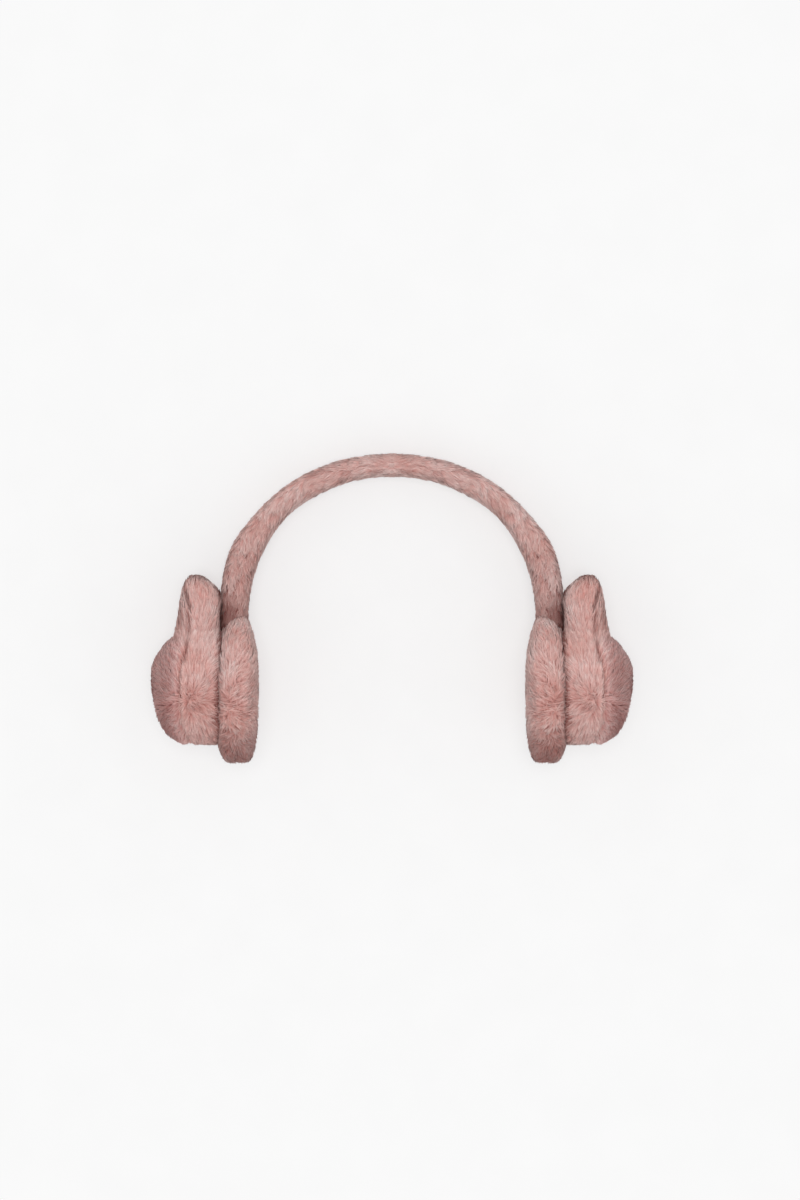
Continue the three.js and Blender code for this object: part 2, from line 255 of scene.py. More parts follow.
def ear_form(side):
    """A fat rounded flap for the front (side 1) or rear (side -1) ear: superellipse from the root
    inside the head (fall 0) to the tip (fall 1), with an elliptical section."""
    root = HEAD_TOP - EAR_ROOT
    tall = EAR_ROOT + EAR_HEIGHT
    middle = HEAD_INNER_X + EAR_THICKNESS * (1 - EAR_TAPER) / 2 - EAR_INWARD

    def form(turn, fall, inset=0.0):
        angle = 2 * np.pi * turn
        slope = np.pi * (fall - 0.5)
        rise = (1 + signed_power(np.sin(slope), 2 / EAR_ROUNDNESS)) / 2
        girth = signed_power(np.cos(slope), 2 / EAR_ROUNDNESS)
        thick = (EAR_THICKNESS / 2 * (1 - EAR_TAPER * rise) - inset) * girth
        height = (tall - 2 * inset) * rise + inset
        offset = (EAR_SPACING / 2 + math.tan(EAR_SPLAY) * (height - EAR_ROOT)) * side
        return stacked(
            middle + thick * np.cos(angle) + EAR_TIP_OUTWARD * rise**EAR_TIP_POWER,
            root + height,
            offset + (EAR_WIDTH / 2 - inset) * girth * np.sin(angle),
        )

    return form


def spline(values, at):
    """A Catmull-Rom curve through equally spaced values, mirrored past the first of them."""
    table = np.array(values)
    sign = -1 if table[0] == 0 else 1
    padded = np.concatenate([[sign * table[1]], table, [2 * table[-1] - table[-2]]])
    low = np.clip(np.floor(at).astype(int), 0, len(table) - 2)
    t = at - low
    a, b, c, d = (padded[low + k] for k in range(4))
    return b + t / 2 * (c - a + t * (2 * a - 5 * b + 4 * c - d + t * (3 * (b - c) + d - a)))


def band_station(share):
    """The band's middle line, in-plane normal, half thickness and half width at a signed share of the
    way from the crown (0) to a foot (1 or -1)."""
    at = np.clip(np.abs(share), 0, 1) * (len(BAND_STATIONS["out"]) - 1)
    foot = PAD_RADIUS - BAND_FOOT_SINK
    half_span = PAD_MIDDLE_X + BAND_STAND_OFF

    def place(where):
        out = half_span * spline(BAND_STATIONS["out"], where)
        return out, foot + (CROWN_HEIGHT - foot) * spline(BAND_STATIONS["up"], where)

    step = 0.02
    x, y = place(at)
    ahead, behind = place(at + step), place(at - step)
    along_x, along_y = ahead[0] - behind[0], ahead[1] - behind[1]
    length = np.hypot(along_x, along_y)
    side = np.where(share < 0, -1.0, 1.0)
    thick = BAND_THICKNESS / 2 * spline(BAND_STATIONS["thick"], at)
    wide = BAND_WIDTH / 2 * spline(BAND_STATIONS["wide"], at)
    return side * x, y, -side * along_y / length, along_x / length, thick, wide


BAND_END_ROUNDNESS = 40


def band_form(turn, fall, inset=0.0):
    """A flattened tube along the arch from the left foot (fall 0) over the crown to the right foot
    (fall 1). Its section is a superellipse, closed at both ends by a last short rounding."""
    share = 2 * fall - 1
    x, y, out_x, out_y, thick, wide = band_station(share)
    angle = 2 * np.pi * turn
    ended = (1 - np.minimum(1, np.abs(share)) ** BAND_END_ROUNDNESS) ** (1 / BAND_END_ROUNDNESS)
    off = (thick - inset) * ended * signed_power(np.sin(angle), 2 / BAND_ROUNDNESS)
    front = (wide - inset) * ended * signed_power(np.cos(angle), 2 / BAND_ROUNDNESS)
    return stacked(x + off * out_x, y + off * out_y, front)


def lay_down(places, side):
    """Turns worn places in millimetres about X by the tilt, sets the pad's middle on its place in the
    frame, keeps everything on the floor, and mirrors X for the other side. Returns metres."""
    up, front = places[..., 1] * MM, places[..., 2] * MM
    y = PAD_CENTRE_Y + up * math.cos(TILT) + front * math.sin(TILT)
    z = PAD_CENTRE_Z - up * math.sin(TILT) + front * math.cos(TILT)
    return stacked(side * places[..., 0] * MM, y, np.maximum(z, FLOOR_CLEARANCE))


def dot(a, b):
    """The dot product of two arrays of vectors, with its last axis kept."""
    return np.sum(a * b, axis=-1, keepdims=True)


def unit(vectors):
    """Vectors at length 1."""
    return vectors / np.maximum(np.linalg.norm(vectors, axis=-1, keepdims=True), 1e-9)


def waves(places, length, seed):
    """A smooth random field from about -1 to 1: the mean of eight plane waves of about this length."""
    rng = np.random.default_rng(seed)
    directions = unit(rng.normal(size=(8, 3))) * rng.uniform(0.7, 1.4, size=(8, 1))
    phases = rng.uniform(0, 2 * np.pi, size=8)
    return np.sin(places @ directions.T * (2 * np.pi / length) + phases).mean(axis=-1) * 1.6


# Level fields: negative inside a form, zero on it, about a millimetre per unit outside it, by these
# scales
PAD_LEVEL = 20
HEAD_LEVEL = 30
EAR_LEVEL = 12
BAND_LEVEL = 9


def rounded(a, b, power):
    """(|a| ** power + |b| ** power) ** (1 / power)."""
    return (np.abs(a) ** power + np.abs(b) ** power) ** (1 / power)


# The pad's pile: its peak and slope at the top, by their places along x, and its lower rim, by height
PAD_PEAK = 0.065
PAD_PEAK_X = 91.3
PAD_PEAK_WIDTH = 4.8
PAD_SLOPE = 0.22
PAD_SLOPE_X = 90.5
PAD_SLOPE_RUN = 16
PAD_RIM_START = 24
PAD_RIM_RUN = 15
PAD_RIM_SQUARENESS = 1.8
PAD_RIM_DRAWN_IN = 1.6
PAD_TOP_SQUARENESS = 4
PILE_LEAN = 6.6
MOST_LEAN = 0.62

# How far the piles of pad and head reach into each other, and how their meeting line wanders
CROWDING = 0.4
CROSSING = 1.1
CROSSING_LENGTH = 8.0


def crossing(places):
    """How far the meeting line of pad and head wanders sideways, in millimetres, because their piles
    push each other about."""
    return CROSSING * waves(places * np.array([0.0, 1.0, 1.0]), CROSSING_LENGTH, CROSSING_SEED)


def pad_field(places, inset=0.0):
    """The pad's superellipse, with the lean of its inner face undone first, and its top rising to a
    low peak near the wearer's side and sloping down from there towards the head. Its lower rim is
    narrower and squarer."""
    x, up, front = places[..., 0], places[..., 1], places[..., 2]
    high = np.maximum(0, (up / PAD_RADIUS - PAD_LEAN_START) / (1 - PAD_LEAN_START))
    depth = x - PAD_MIDDLE_X
    leant = 1 - np.minimum(MOST_LEAN, 2 * PILE_LEAN / PAD_THICKNESS * high**2)
    inner = depth < 0
    depth = np.where(inner, depth / leant, depth)
    half = PAD_THICKNESS / 2 + np.where(inner, -inset, CROWDING + crossing(places) - 0.4 * inset)
    low = np.clip((-up - PAD_RIM_START) / PAD_RIM_RUN, 0, 1)
    half = half - PAD_RIM_DRAWN_IN * low
    power = PAD_ROUNDNESS + np.where(inner, PAD_TOP_SQUARENESS * high, 0) + PAD_RIM_SQUARENESS * low
    peak = PAD_PEAK * np.exp(-(((x - PAD_PEAK_X) / PAD_PEAK_WIDTH) ** 2))
    sloped = 1 + high * (PAD_SLOPE * (np.maximum(0, x - PAD_SLOPE_X) / PAD_SLOPE_RUN) ** 2 - peak)
    radius = sloped * np.hypot(up, front) / (PAD_RADIUS - inset)
    return (rounded(radius, depth / half, power) - 1) * PAD_LEVEL


# The seam's places along x at a row of heights, and how it is pressed in
SEAM_ROWS = (-40, -26.7, -18.9, -3.3, 4.5, 14.1, 24.3, 37.5, 47.7, 55, 62.1, 70)
SEAM_PLACES = (120.5, 121.6, 124.4, 125.4, 125.6, 124.6, 121.6, 120, 119.4, 121, 123.7, 126)
SEAM_DEPTH = 1.1
SEAM_EASING = 0.35
SEAM_WIDTH = 1.5
STRIP_CORNER = 22


def seam_distance(places):
    """How far sideways a place lies from the seam between strip and face and on up the ear."""
    return places[..., 0] - np.interp(places[..., 1], SEAM_ROWS, SEAM_PLACES)


def head_field(places, inset=0.0):
    """The head: its outline's superellipse, closed by a half ellipse over the dome and by a sharper
    rounding at the strip's inner edge."""
    x, up, front = places[..., 0], places[..., 1], places[..., 2]
    base = seam_x(np.clip(front, -HEAD_LENGTH / 2, HEAD_LENGTH / 2))
    outward = (x - base) / (SEAM_X + FACE_DEPTH - inset - base)
    inward = (base - x) / (base - HEAD_INNER_X + CROWDING - crossing(places))
    lift = FACE_LIFT * np.clip(outward, 0, 1) ** FACE_LIFT_POWER
    outline = rounded(
        front / (HEAD_LENGTH / 2 - inset),
        (up - HEAD_RAISE - lift) / (HEAD_HEIGHT / 2 - inset),
        HEAD_ROUNDNESS,
    )
    dome = np.hypot(outline, np.maximum(0, outward))
    wall = rounded(outline, np.maximum(0, inward), STRIP_CORNER)
    return (np.where(outward > 0, dome, wall) - 1) * HEAD_LEVEL


# The ears' pile: its middle and half width along x at a row of heights, and where it closes
EAR_ROWS = (13, 34, 43, 52, 57, 60, 63, 66, 70)
EAR_MIDDLES = (116.5, 116.6, 115.6, 114.65, 114.4, 115.1, 116.3, 117.4, 117.8)
EAR_HALVES = (13.2, 13.2, 12.7, 12.3, 12.1, 11.3, 10.3, 9.4, 8.6)
EAR_SHOULDER = 50.0
EAR_GROUND = 22.0
EAR_GROUND_RUN = 12
EAR_TIP = 69.0
EAR_CLOSING = 2.6
EAR_MEETING = 2.0


def ear_field(places, inset=0.0):
    """Both ears at once: an elliptical section whose middle and half width follow the rows above, and
    which closes as a superellipse above the shoulder and below the ground line in the head. The
    distance from the middle plane is softened by EAR_MEETING, so that the two run together there."""
    x, up, front = places[..., 0], places[..., 1], places[..., 2]
    middle = np.interp(up, EAR_ROWS, EAR_MIDDLES)
    half = np.interp(up, EAR_ROWS, EAR_HALVES) - inset
    offset = EAR_SPACING / 2 + math.tan(EAR_SPLAY) * (up - HEAD_TOP)
    apart = np.hypot(front, EAR_MEETING)
    section = np.hypot((x - middle) / half, (apart - offset) / (EAR_WIDTH / 2 - inset))
    above = np.maximum(0, up - EAR_SHOULDER) / (EAR_TIP - inset - EAR_SHOULDER)
    below = np.maximum(0, EAR_GROUND - up) / EAR_GROUND_RUN
    return (rounded(section, above + below, EAR_CLOSING) - 1) * EAR_LEVEL


BLEND_FRONT = 9.0
BLEND_FACE = 4.5
BLEND_RUN = 6


def head_and_ears(places, inset=0.0):
    """Head and ears run together: min(a, b) - k / 4 * (1 - |a - b| / k) ** 2 with a blend k that is
    wide on the strip and narrow on the face, and the seam pressed in as a bell curve, less so up
    the ear and on the lower half."""
    head, ears = head_field(places, inset), ear_field(places, inset)
    outward = seam_distance(places)
    blend = BLEND_FRONT + (BLEND_FACE - BLEND_FRONT) * np.clip(outward / BLEND_RUN, 0, 1)
    near = np.maximum(0, 1 - np.abs(head - ears) / blend)
    joined = np.minimum(head, ears) - blend / 4 * near**2
    up = places[..., 1]
    eased = np.clip((up - 25) / 15, 0, 1) + np.clip((2 - up) / 14, 0, 1)
    depth = SEAM_DEPTH - SEAM_EASING * eased
    return joined + depth * np.exp(-((outward / SEAM_WIDTH) ** 2))


# The band's bearing round the arch's middle at 401 shares of the way from crown to foot
BAND_AXIS_HEIGHT = 50.0
BAND_PILE_ROUNDNESS = 3.2
BAND_SHARES = np.linspace(0, 1, 401)
BAND_TABLE = band_station(BAND_SHARES)
BAND_BEARINGS = np.arctan2(BAND_TABLE[0], BAND_TABLE[1] - BAND_AXIS_HEIGHT)


def band_share(places):
    """How far along the band a place lies, from its bearing round the arch's middle."""
    bearing = np.arctan2(places[..., 0], places[..., 1] - BAND_AXIS_HEIGHT)
    return np.sign(bearing) * np.interp(np.abs(bearing), BAND_BEARINGS, BAND_SHARES)


def band_field(places, inset=0.0):
    """The band's superellipse section round its middle line, a little squarer than the solid's."""
    x, y, out_x, out_y, thick, wide = band_station(band_share(places))
    off = (places[..., 0] - x) * out_x + (places[..., 1] - y) * out_y
    section = rounded(off / (thick - inset), places[..., 2] / (wide - inset), BAND_PILE_ROUNDNESS)
    return (section - 1) * BAND_LEVEL


SLOPE_STEP = 0.02
LONGEST_STEP = 3.0


def slope_of(field, places, inset, level):
    """The field's gradient, by forward differences."""
    step = SLOPE_STEP
    parts = [(field(places + step * axis, inset) - level) / step for axis in np.eye(3)]
    return np.stack(parts, axis=-1)


def settled(field, places, inset, times):
    """Moves places onto the form by Newton's steps along the gradient, none of them longer than
    LONGEST_STEP. Returns them and the normal."""
    for _ in range(times):
        level = field(places, inset)
        slope = slope_of(field, places, inset, level)
        step = level[..., None] * slope / np.maximum(dot(slope, slope), 1e-6)
        size = np.linalg.norm(step, axis=-1, keepdims=True)
        places = places - step * np.minimum(1, LONGEST_STEP / np.maximum(size, 1e-9))
    return places, unit(slope)


# Which way the pile is combed: each field's length says how firmly, and below UPRIGHT_RANGE it
# stands up
MEETING_WIDTH = 9.0
FIRMLY = 30.0


def from_whorls(side, up, front, fan):
    """Pile that radiates from a whorl at the front and another at the rear, with the sideways part
    weighed by fan. Where the two meet halfway, the fore-and-aft part dies away as a tanh."""

    def flow(places):
        behind = (np.abs(places[..., 2]) - front) * np.tanh(places[..., 2] / MEETING_WIDTH)
        return stacked(fan * (places[..., 0] - side), places[..., 1] - up, behind)

    return flow


def up_the_ear(places):
    """Pile that runs up to the ear's tip and fans out a little."""
    fan = 0.5 * (places[..., 0] - np.interp(places[..., 1], EAR_ROWS, EAR_MIDDLES))
    return stacked(fan, np.full_like(fan, FIRMLY), 0 * fan)


def down_the_band(places):
    """Pile that runs from the crown to the foot, slanting from the outer edge to the inner one on the
    shoulders, and ruffled to either side by waves that grow towards the foot."""
    share = band_share(places)
    _, _, out_x, out_y, _, _ = band_station(share)
    slant = 0.12 + 0.35 * np.exp(-(((np.abs(share) - 0.55) / 0.25) ** 2))
    slant = slant + (0.3 + 0.5 * np.abs(share)) * waves(places, RUFFLE_LENGTH, RUFFLE_SEED)
    along_x = out_y - slant * out_x
    along_y = -out_x - slant * out_y
    return FIRMLY * stacked(along_x, along_y, 0 * along_x)


# Pile


def cell_noise(cells, channel):
    """A repeatable number from 0 to 1 for each whole-numbered cell, by mixing its bits."""
    mixed = cells.astype(np.int64) * np.array([73856093, 19349663, 83492791])
    key = (mixed[..., 0] ^ mixed[..., 1] ^ mixed[..., 2]) + channel * 2654435761
    key = (key ^ (key >> 15)) * 2246822519
    key = (key ^ (key >> 13)) & 0xFFFFFF
    return key / float(0xFFFFFF)


def tufts(places, size):
    """The nearest of a jittered grid's points to each place, and that point's own random number."""
    base = np.floor(places / size)
    best = np.full(places.shape[:-1], 1e9)
    centre = np.zeros_like(places)
    number = np.zeros(places.shape[:-1])
    steps = np.array(np.meshgrid([-1, 0, 1], [-1, 0, 1], [-1, 0, 1])).reshape(3, -1).T
    for step in steps:
        cell = base + step
        jitter = np.stack([cell_noise(cell, channel) for channel in (1, 2, 3)], axis=-1)
        point = (cell + jitter) * size
        distance = np.sum((point - places) ** 2, axis=-1)
        nearer = distance < best
        best = np.where(nearer, distance, best)
        centre = np.where(nearer[..., None], point, centre)
        number = np.where(nearer, cell_noise(cell, 4), number)
    return centre, number


CELLS = 240
DIFFERENCE = 1e-3


def scattered(form, falls, count, seed):
    """Strand roots spread evenly by area: cells of a fine grid are drawn in proportion to their area,
    in even steps, and each root lies at random in its cell. Returns places on the form."""
    rng = np.random.default_rng(seed)
    turn, fall = np.meshgrid(
        (np.arange(CELLS) + 0.5) / CELLS,
        falls[0] + (falls[1] - falls[0]) * (np.arange(CELLS) + 0.5) / CELLS,
    )
    round_way = form(turn + DIFFERENCE, fall) - form(turn - DIFFERENCE, fall)
    along_way = form(turn, fall + DIFFERENCE) - form(turn, fall - DIFFERENCE)
    area = np.linalg.norm(np.cross(along_way, round_way), axis=-1).ravel()
    total = np.cumsum(area)
    picks = (np.arange(count) + rng.uniform(size=count)) / count * total[-1]
    cell = np.minimum(np.searchsorted(total, picks), total.size - 1)
    turns = (cell % CELLS + rng.uniform(size=count)) / CELLS
    steps = (cell // CELLS + rng.uniform(size=count)) / CELLS
    return form(turns, falls[0] + (falls[1] - falls[0]) * steps)


def combed(places, normals, flow, own_turn, wander):
    """The combed direction in the surface, turned by slow swirls and each strand's own turn, and how
    upright the pile stands: near a whorl, where the flow is weak, it stands up. The wander moves each
    strand's whorl a little, so that the pile closes over it."""
    raw = flow(places + wander)
    level = raw - dot(raw, normals) * normals
    strength = np.linalg.norm(level, axis=-1)
    swirl = sum(
        amount * waves(places, length, SWIRL_SEED + k) for k, (length, amount) in enumerate(SWIRLS)
    )
    loose = np.exp(-((strength / LOOSE_RANGE) ** 2))
    angle = (swirl * (1 + 2 * loose) + own_turn * (1 + 3 * loose))[..., None]
    ahead = unit(level)
    turned = ahead * np.cos(angle) + np.cross(normals, ahead) * np.sin(angle)
    return turned, np.exp(-((strength / UPRIGHT_RANGE) ** 2))[..., None]


# A strand's faces from its root, two middle points and tip, and how far along it those points lie
STRAND_FACES = np.array([[0, 1, 2], [1, 3, 2], [0, 3, 1], [0, 2, 3]])
STRAND_ALONG = np.array([0.0, MIDDLE_SHARE, MIDDLE_SHARE, 1.0])
# Where each corner of a strand's faces lies in that strand's own square of the unwrapped map
STRAND_MAP = np.array(
    [
        [[0.5, 0.0], [0.0, 0.5], [1.0, 0.5]],
        [[0.0, 0.5], [0.5, 1.0], [1.0, 0.5]],
        [[1.0, 0.0], [2.0, 1.0], [1.0, 1.0]],
        [[1.1, 0.0], [2.0, 0.0], [2.0, 0.9]],
    ]
) / np.array([2.0, 1.0])
MAP_FILL = 0.9


def strands(form, field, falls, count, flow, hidden, pile, seed, pile_share=1.0, depth=PILE_DEPTH):
    """Tapered strands as arrays. Each has a root under the skin, two points side by side on its bend
    and a tip, and follows the form's surface; strands of one tuft lean together. A tuft's number,
    times three odd factors and less its whole part, gives the tuft's wander. Returns points
    (n, 4, 3), normals of the faces' corners (n, 4, 3, 3), tuft and own numbers, and places. The
    normals lie between each blade's own and the form's, which is how light spreads in a pile. In a
    hollow a strand's bend can lie under the line from root to tip; its two middle points are then
    swapped, so that its faces still look outwards."""
    bend, bend_normal = settled(field, scattered(form, falls, count, seed), depth, 4)
    kept = ~hidden(bend)
    bend, bend_normal = bend[kept], bend_normal[kept]
    rng = np.random.default_rng(seed + 1)
    chance = rng.uniform(size=(len(bend), 6))
    centre, tuft = tufts(bend, TUFT_SIZE)
    own_turn = (tuft - 0.5) * TUFT_TURN + (chance[:, 4] - 0.5) * STRAND_TURN
    pull = centre - bend
    pull -= dot(pull, bend_normal) * bend_normal
    apart = np.stack([tuft * 97.13 % 1, tuft * 57.71 % 1, tuft * 31.39 % 1], axis=-1) - 0.5
    wander = TUFT_WANDER * apart + STRAND_WANDER * (rng.uniform(size=bend.shape) - 0.5)
    ahead, upright = combed(bend, bend_normal, flow, own_turn, wander)
    pull *= 1 - 0.8 * upright
    length = pile.strand_length / MM * (0.65 + 0.4 * chance[:, :1] + 0.3 * tuft[:, None])
    length = pile_share * length * (1 - 0.5 * upright)
    back = length * MIDDLE_SHARE / 2
    root, _ = settled(field, bend - ahead * back - pull * STEP_PULL, depth, 1)
    root, root_normal = settled(field, root - ahead * back - pull * STEP_PULL, depth, 2)
    rest = length * (1 - MIDDLE_SHARE) / 2
    halfway, halfway_normal = settled(field, bend + ahead * rest + pull * STEP_PULL, depth, 1)
    bent, _ = combed(halfway, halfway_normal, flow, own_turn, wander)
    ahead = unit(ahead + np.clip(2 * dot(ahead, bent), 0, 1) * bent)
    end, end_normal = settled(field, halfway + ahead * rest + pull * BEND_PULL, depth, 2)
    height = PILE_DEPTH * (0.4 + 0.75 * chance[:, 1:2])
    height = height * (0.8 + 0.4 * tuft[:, None])
    root = root - ROOT_SINK * root_normal
    middle = bend + bend_normal * (0.5 * height + 0.35) + BEND_PULL * pull
    tip = end + end_normal * height
    across = unit(np.cross(bend_normal, tip - root))
    twist = (chance[:, 5:6] - 0.5) * STRAND_ROLL
    across = across * np.cos(twist) + bend_normal * np.sin(twist)
    half = pile.strand_width / MM / 2 * (0.7 + 0.6 * chance[:, 2:3])
    points = np.stack([root, middle - half * across, middle + half * across, tip], axis=1)
    blade = unit(np.cross(across, tip - root))
    blade = blade * np.sign(dot(blade, bend_normal) + 1e-9)
    normals = np.stack([root_normal, bend_normal, bend_normal, end_normal], axis=1)
    upper = unit(UPPER_SHARE * normals + (1 - UPPER_SHARE) * blade[:, None, :])
    under = unit(UNDER_SHARE * normals - (1 - UNDER_SHARE) * blade[:, None, :])
    first = np.cross(points[:, 1] - points[:, 0], points[:, 2] - points[:, 0])
    hollow = dot(first, points[:, 3] - points[:, 0])[:, 0] > 0
    points[hollow] = points[hollow][:, [0, 2, 1, 3]]
    sunk = hollow[:, None, None]
    bend_faces = np.where(sunk[..., None], under[:, STRAND_FACES[:2]], upper[:, STRAND_FACES[:2]])
    flat_faces = np.where(sunk[..., None], upper[:, STRAND_FACES[2:]], under[:, STRAND_FACES[2:]])
    return points, np.concatenate([bend_faces, flat_faces], axis=1), tuft, chance[:, 3], bend


# Meshes


def mesh_object(name, points, faces, material):
    """A smooth object at the origin from points in metres and rows of face corners."""
    mesh = bpy.data.meshes.new(name)
    mesh.vertices.add(len(points))
    mesh.vertices.foreach_set("co", points.astype(np.float32).ravel())
    mesh.loops.add(faces.size)
    mesh.loops.foreach_set("vertex_index", faces.astype(np.int32).ravel())
    mesh.polygons.add(len(faces))
    starts = np.arange(len(faces), dtype=np.int32) * faces.shape[1]
    mesh.polygons.foreach_set("loop_start", starts)
    mesh.polygons.foreach_set("use_smooth", np.ones(len(faces), dtype=bool))
    mesh.update(calc_edges=True)
    mesh.validate()
    mesh.materials.append(material)
    made = bpy.data.objects.new(name, mesh)
    bpy.context.collection.objects.link(made)
    return made


def add_values(made, name, values):
    """Puts one number on each vertex for the material to read."""
    attribute = made.data.attributes.new(name, "FLOAT", "POINT")
    attribute.data.foreach_set("value", np.asarray(values, dtype=np.float32).ravel())


SKIN_STEPS = 5


def skin_object(name, form, side, material, round_steps=64, rows=32, field=None, share=None):
    """A closed skin: rings of points between two poles, with triangles between them. With a field,
    its points are moved towards that field's form by a share from 0 to 1."""
    turn, fall = np.meshgrid(np.arange(round_steps) / round_steps, np.arange(1, rows) / rows)
    rings = form(turn, fall, SKIN_DEPTH).reshape(-1, 3)
    poles = form(np.array([0.0, 0.0]), np.array([0.0, 1.0]), SKIN_DEPTH)
    places = np.concatenate([rings, poles])
    if field:
        moved = settled(field, places, SKIN_DEPTH, SKIN_STEPS)[0] - places
        places = places + moved * share(places)[:, None]
    points = lay_down(places, side)
    column = np.arange(round_steps)
    after = (column + 1) % round_steps
    row = np.arange(rows - 2)[:, None] * round_steps
    first, second = row + column, row + after
    third, fourth = first + round_steps, second + round_steps
    walls = np.concatenate(
        [np.stack([first, third, second], -1), np.stack([second, third, fourth], -1)]
    ).reshape(-1, 3)
    start, end = len(rings), len(rings) + 1
    last = (rows - 2) * round_steps
    caps = np.concatenate(
        [
            np.stack([np.full(round_steps, start), column, after], -1),
            np.stack([np.full(round_steps, end), last + after, last + column], -1),
        ]
    )
    faces = np.concatenate([walls, caps])
    return mesh_object(name, points, faces if side > 0 else faces[:, ::-1], material)


def laid_normals(normals, side):
    """Normals turned like the places they belong to."""
    up, front = normals[..., 1], normals[..., 2]
    y = up * math.cos(TILT) + front * math.sin(TILT)
    z = front * math.cos(TILT) - up * math.sin(TILT)
    return stacked(side * normals[..., 0], y, z)


def fur_object(name, made_strands, side, material, darkness):
    """One mesh of all strands, with the numbers that the material reads and its own unwrapped map:
    a square grid with one square for each strand."""
    points, normals, tuft, shade, roots = made_strands
    count = len(points)
    corners = len(STRAND_ALONG)
    faces = STRAND_FACES if side > 0 else STRAND_FACES[:, ::-1]
    all_faces = (np.arange(count)[:, None, None] * corners + faces).reshape(-1, 3)
    made = mesh_object(name, lay_down(points.reshape(-1, 3), side), all_faces, material)
    corner_normals = normals if side > 0 else normals[:, :, ::-1]
    made.data.normals_split_custom_set(laid_normals(corner_normals.reshape(-1, 3), side))
    add_values(made, "along", np.tile(STRAND_ALONG, count))
    add_values(made, "tuft", np.repeat(tuft, corners))
    add_values(made, "strand", np.repeat(shade, corners))
    # dark: painted shade, with a few darker tones, for the material to mix in
    add_values(made, "dark", np.repeat(darkness(roots), corners))
    across = math.ceil(math.sqrt(count))
    number = np.arange(count)
    corner = np.stack([number % across, number // across], -1)[:, None, None, :]
    strand_map = STRAND_MAP if side > 0 else STRAND_MAP[:, ::-1]
    places = (corner + (1 - MAP_FILL) / 2 + MAP_FILL * strand_map) / across
    layer = made.data.uv_layers.new(name="OFBake")
    layer.data.foreach_set("uv", places.astype(np.float32).ravel())
    return made


# Materials


def linear(hex_colour):
    """An sRGB hex colour as linear red, green, blue and alpha."""
    parts = [int(hex_colour[k : k + 2], 16) / 255 for k in (1, 3, 5)]
    return (*[p / 12.92 if p <= 0.04045 else ((p + 0.055) / 1.055) ** 2.4 for p in parts], 1.0)


def add_node(tree, kind, settings=None, links=None):
    """Adds a node, sets its properties and input values, and links its inputs to other outputs."""
    made = tree.nodes.new(kind)
    for key, value in (settings or {}).items():
        if isinstance(key, str) and hasattr(made, key):
            setattr(made, key, value)
        else:
            made.inputs[key].default_value = value
    for key, source in (links or {}).items():
        tree.links.new(source, made.inputs[key])
    return made


def new_material(name):
    """An empty node material with its output and shader."""
    made = bpy.data.materials.new(name)
    made.use_nodes = True
    made.node_tree.nodes.clear()
    output = made.node_tree.nodes.new("ShaderNodeOutputMaterial")
    shader = made.node_tree.nodes.new("ShaderNodeBsdfPrincipled")
    made.node_tree.links.new(shader.outputs["BSDF"], output.inputs["Surface"])
    return made, made.node_tree, shader


def colour_ramp(tree, source, stops):
    """A ramp from positions and colours, either hex or linear."""
    ramp = add_node(tree, "ShaderNodeValToRGB", links={"Fac": source})
    elements = ramp.color_ramp.elements
    while len(elements) < len(stops):
        elements.new(0.5)
    for element, (position, colour) in zip(elements, stops):
        element.position = position
        element.color = linear(colour) if isinstance(colour, str) else tuple(colour)
    return ramp.outputs["Color"]


MOTTLE_LENGTH = 22 * MM
TUFT_WEIGHT = 0.55
STITCH_LENGTH = 1.2 * MM


def plush_fibre(name, pile, colours, sheen):
    """Acrylic plush fibre, spun, knitted into its backing and combed: dull, with paler tips, darker
    roots, clumps a shade apart and mottling over 20 mm or so. The sheen gives the greyer bloom where the
    pile turns from the eye. The attribute dark carries painted shade, in creases, seams and partings,
    behind the pad and where the pile turns from the light, and also the face's darker rose place and the
    band's slightly darker tone."""
    made, tree, shader = new_material(name)
    along = add_node(tree, "ShaderNodeAttribute", {"attribute_name": "along"}).outputs["Fac"]
    tuft = add_node(tree, "ShaderNodeAttribute", {"attribute_name": "tuft"}).outputs["Fac"]
    strand = add_node(tree, "ShaderNodeAttribute", {"attribute_name": "strand"}).outputs["Fac"]
    dark = add_node(tree, "ShaderNodeAttribute", {"attribute_name": "dark"}).outputs["Fac"]
    place = add_node(tree, "ShaderNodeTexCoord").outputs["Object"]
    mottle = add_node(
        tree, "ShaderNodeTexNoise", {"Scale": 1 / MOTTLE_LENGTH, "Detail": 2.0}, {"Vector": place}
    ).outputs["Fac"]
    stops = ((0.0, pile.root_colour), (0.4, colours["middle"]), (1.0, pile.tip_colour))
    lengthways = colour_ramp(tree, along, stops)
    variation = add_node(
        tree, "ShaderNodeMath", {"operation": "MULTIPLY_ADD", 1: TUFT_WEIGHT}, {0: tuft, 2: strand}
    ).outputs["Value"]
    variation = add_node(
        tree, "ShaderNodeMath", {"operation": "MULTIPLY", 1: 1 / (1 + TUFT_WEIGHT)}, {0: variation}
    ).outputs["Value"]
    shades = colour_ramp(tree, variation, colours["shades"])
    tinted = add_node(
        tree,
        "ShaderNodeMix",
        {"data_type": "RGBA", "blend_type": "MULTIPLY", 0: 1.0},
        {6: lengthways, 7: shades},
    ).outputs[2]
    mottled = colour_ramp(tree, mottle, colours["mottle"])
    tinted = add_node(
        tree,
        "ShaderNodeMix",
        {"data_type": "RGBA", "blend_type": "MULTIPLY", 0: 1.0},
        {6: tinted, 7: mottled},
    ).outputs[2]
    # Painted shade, and a few darker tones, mixed in by the attribute dark
    tinted = add_node(
        tree,
        "ShaderNodeMix",
        {"data_type": "RGBA", "blend_type": "MULTIPLY", 7: linear(colours["patch"])},
        {0: dark, 6: tinted},
    ).outputs[2]
    tree.links.new(tinted, shader.inputs["Base Color"])
    shader.inputs["Roughness"].default_value = 0.72
    shader.inputs["Specular IOR Level"].default_value = 0.15
    shader.inputs["Sheen Weight"].default_value = sheen
    shader.inputs["Sheen Roughness"].default_value = 0.45
    shader.inputs["Sheen Tint"].default_value = linear("#CDBDBC")
    return made


